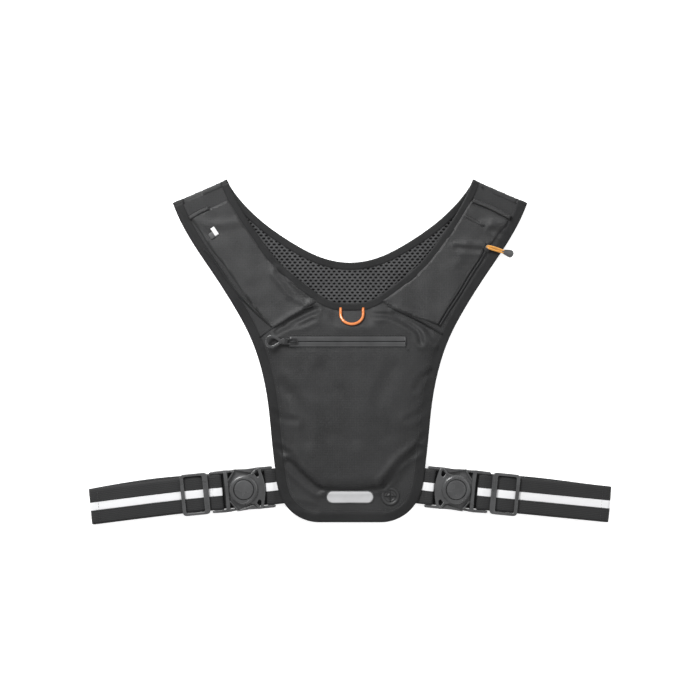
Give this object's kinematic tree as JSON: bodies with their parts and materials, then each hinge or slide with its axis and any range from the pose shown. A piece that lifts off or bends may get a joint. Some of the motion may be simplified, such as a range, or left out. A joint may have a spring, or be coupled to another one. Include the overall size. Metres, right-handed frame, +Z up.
{
  "type": "reflective running vest",
  "caption": "Flat-folded running vest with air-mesh lining, zipped chest pouch, shoulder pockets and two side straps with press buckles and slide adjusters",
  "frame": {"origin": "bottom centre of the bounding box, on the surface that the vest lies on", "axes": "+Z up through the thickness, +Y from the hem to the shoulders, +X to the wearer's left, which is the right of the picture"},
  "size_m": [0.561, 0.369, 0.0202],
  "materials": {
    "shell": "ripstop",
    "mesh": "spacer mesh",
    "tape": "smooth bonded",
    "webbing": "woven",
    "reflective": "retroreflective film",
    "buckle": "moulded acetal",
    "zip_metal": "painted zinc",
    "zip_tape": "water-resistant film",
    "rubber": "moulded",
    "orange": "moulded",
    "orange_cord": "braided cord",
    "steel": "spring"
  },
  "bodies": {
    "back_panel": {"back_shell": "shell", "back_mesh_lining": "mesh", "back_neck_tape": "tape", "back_edge_tape": "tape", "left_shoulder_fold": "shell", "left_shoulder_yoke": "shell", "left_strap_rear_run": "webbing", "right_shoulder_fold": "shell", "right_shoulder_yoke": "shell", "right_strap_rear_run": "webbing"},
    "front_panel": {"front_shell": "shell", "front_mesh_lining": "mesh", "front_neck_tape": "tape", "front_edge_tape": "tape", "pouch_panel": "shell", "reflective_pill": "reflective", "cable_port": "rubber", "main_zip_tapes": "zip_tape", "main_zip_coils": "zip_tape", "main_zip_stops": "zip_tape", "reflective_tag": "reflective", "side_zip_coil": "zip_tape", "left_shoulder_pocket": "shell", "left_pocket_hem": "tape", "left_strap_stub": "webbing", "left_stub_stripe": "reflective", "right_shoulder_pocket": "shell", "right_pocket_hem": "tape", "right_strap_stub": "webbing", "right_stub_stripe": "reflective"},
    "main_zip_slider": {"main_zip_slider": "zip_metal"},
    "main_zip_pull": {"main_zip_pull": "rubber"},
    "key_loop": {"key_loop": "orange"},
    "side_zip_slider": {"side_zip_slider": "zip_metal"},
    "side_zip_pull": {"side_pull_cord": "orange_cord", "side_pull_grip": "rubber"},
    "left_strap": {"left_strap_webbing": "webbing", "left_strap_stripe": "reflective", "left_buckle_base": "buckle"},
    "left_adjuster": {"left_strap_adjuster": "buckle"},
    "left_buckle_top": {"left_buckle_top": "buckle", "left_button_spring": "steel"},
    "left_buckle_button": {"left_buckle_button": "buckle"},
    "right_strap": {"right_strap_webbing": "webbing", "right_strap_stripe": "reflective", "right_buckle_base": "buckle"},
    "right_adjuster": {"right_strap_adjuster": "buckle"},
    "right_buckle_top": {"right_buckle_top": "buckle", "right_button_spring": "steel"},
    "right_buckle_button": {"right_buckle_button": "buckle"}
  },
  "joints": [
    {"name": "front_panel_lift", "type": "hinge", "parent": "back_panel", "child": "front_panel", "pos_m": [0, 0.1485, 0.0072], "axis": [-1, 0, 0], "range_deg": [0, 90], "deforming": ["left_shoulder_yoke", "right_shoulder_yoke"]},
    {"name": "main_zip_slide", "type": "slide", "parent": "front_panel", "child": "main_zip_slider", "axis": [1, 0, 0], "range_m": [0, 0.1135]},
    {"name": "main_zip_pull_swing", "type": "hinge", "parent": "main_zip_slider", "child": "main_zip_pull", "pos_m": [-0.06, 0.009, 0.0185], "axis": [0, 1, 0], "range_deg": [0, 150]},
    {"name": "key_loop_swing", "type": "hinge", "parent": "front_panel", "child": "key_loop", "pos_m": [0.002, 0.0402, 0.0097], "axis": [-1, 0, 0], "range_deg": [0, 80]},
    {"name": "side_zip_slide", "type": "slide", "parent": "front_panel", "child": "side_zip_slider", "axis": [-0.5388, -0.8424, 0], "range_m": [0, 0.09]},
    {"name": "side_zip_pull_swing", "type": "hinge", "parent": "side_zip_slider", "child": "side_zip_pull", "pos_m": [0.14775, 0.11016, 0.0099], "axis": [-0.2906, -0.9569, 0], "range_deg": [0, 100]},
    {"name": "left_strap_pull_out", "type": "slide", "parent": "back_panel", "child": "left_strap", "axis": [-0.9952, -0.0976, 0], "range_m": [0, 0.035]},
    {"name": "left_adjuster_slide", "type": "slide", "parent": "left_strap", "child": "left_adjuster", "axis": [-0.9952, -0.0976, 0], "range_m": [-0.004, 0.08]},
    {"name": "left_buckle_lift", "type": "hinge", "parent": "front_panel", "child": "left_buckle_top", "pos_m": [-0.08613, -0.14662, 0.0061], "axis": [-0.0976, 0.9952, 0], "range_deg": [0, 50], "deforming": ["left_strap_stub", "left_stub_stripe"]},
    {"name": "left_button_press", "type": "slide", "parent": "left_buckle_top", "child": "left_buckle_button", "axis": [0, 0, -1], "range_m": [0, 0.0014], "stiffness_N_per_m": 400, "deforming": ["left_button_spring"]},
    {"name": "right_strap_pull_out", "type": "slide", "parent": "back_panel", "child": "right_strap", "axis": [0.9952, -0.0976, 0], "range_m": [0, 0.035]},
    {"name": "right_adjuster_slide", "type": "slide", "parent": "right_strap", "child": "right_adjuster", "axis": [0.9952, -0.0976, 0], "range_m": [-0.004, 0.08]},
    {"name": "right_buckle_lift", "type": "hinge", "parent": "front_panel", "child": "right_buckle_top", "pos_m": [0.08613, -0.14662, 0.0061], "axis": [-0.0976, -0.9952, 0], "range_deg": [0, 50], "deforming": ["right_strap_stub", "right_stub_stripe"]},
    {"name": "right_button_press", "type": "slide", "parent": "right_buckle_top", "child": "right_buckle_button", "axis": [0, 0, -1], "range_m": [0, 0.0014], "stiffness_N_per_m": 400, "deforming": ["right_button_spring"]}
  ]
}
